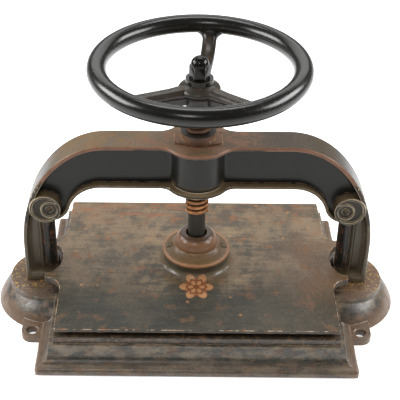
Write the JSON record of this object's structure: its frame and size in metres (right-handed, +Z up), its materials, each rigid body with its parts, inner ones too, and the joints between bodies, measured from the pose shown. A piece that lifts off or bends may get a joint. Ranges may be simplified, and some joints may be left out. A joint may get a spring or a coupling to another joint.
{
  "type": "book press",
  "caption": "Cast iron screw press: a handwheel on a central screw under an arch drives a flat platen down onto a moulded bed.",
  "frame": {"origin": "on the table under the screw's axis, at the middle of the base", "axes": "+X along the arch towards the right leg seen from the user, +Y away from the user, +Z up along the screw"},
  "size_m": [0.453, 0.2796, 0.3047],
  "materials": {
    "base": "worn dark green-grey japan over cast iron, rust on the bead and edges",
    "arch": "worn blue-black japan over cast iron, brown dust and rust on top",
    "studs": "dull steel",
    "bush": "dark oily bronze",
    "screw": "oily brown-stained steel thread",
    "wheel": "glossy black japan, worn brown on the inner edge",
    "nut": "glossy blackened steel",
    "platen": "smooth brown-grey iron with rust spots and a worn gilt motif",
    "button": "hardened steel",
    "collar": "dark glossy japan with an olive-tan flange and a rusty rim",
    "screws": "dull brown steel"
  },
  "bodies": {
    "frame": {"base": "base", "arch_frame": "arch", "frame_studs": "studs", "stud_washers": "studs", "stud_nuts": "studs", "screw_bush": "bush"},
    "platen": {"platen": "platen", "thrust_button": "button", "neck_ring_left": "button", "neck_ring_right": "button", "collar_cap": "collar", "collar_screws": "screws"},
    "spindle": {"screw": "screw", "handwheel": "wheel", "wheel_washer": "nut", "cap_nut": "nut"}
  },
  "joints": [
    {"name": "platen_travel", "type": "slide", "parent": "frame", "child": "platen", "axis": [0, 0, 1], "range_m": [-0.005, 0.055]},
    {"name": "screw_turn", "type": "hinge", "parent": "platen", "child": "spindle", "pos_m": [0, 0, 0.2935], "axis": [0, 0, 1], "range_deg": [-283.4, 3118]}
  ],
  "couplings": [
    {"joint": "platen_travel", "follows": "screw_turn", "m_per_rad": 0.0010106}
  ]
}
